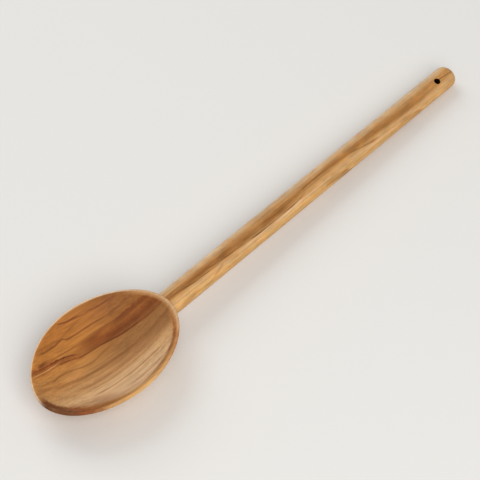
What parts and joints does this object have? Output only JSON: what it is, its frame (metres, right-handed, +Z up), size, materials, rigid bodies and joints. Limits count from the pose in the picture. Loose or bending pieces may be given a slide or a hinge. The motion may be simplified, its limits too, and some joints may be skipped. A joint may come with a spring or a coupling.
{
  "type": "cooking spoon",
  "caption": "Wooden cooking spoon: a hollowed oval bowl with a thin rounded lip on a long straight oval handle with a rounded end and a hang hole.",
  "frame": {"origin": "on the worktop under the middle of the spoon's length and width", "axes": "+X along the spoon from the bowl's tip to the handle's end, +Y across the bowl, +Z up out of the hollow"},
  "size_m": [0.3, 0.0586, 0.02],
  "materials": {
    "bowl_wood": "oiled satin olive wood, orange tan with dark brown heartwood streaks",
    "handle_wood": "oiled satin olive wood, cream to golden with one brown streak along its length"
  },
  "bodies": {
    "root": {"bowl": "bowl_wood", "handle": "handle_wood"}
  },
  "joints": []
}
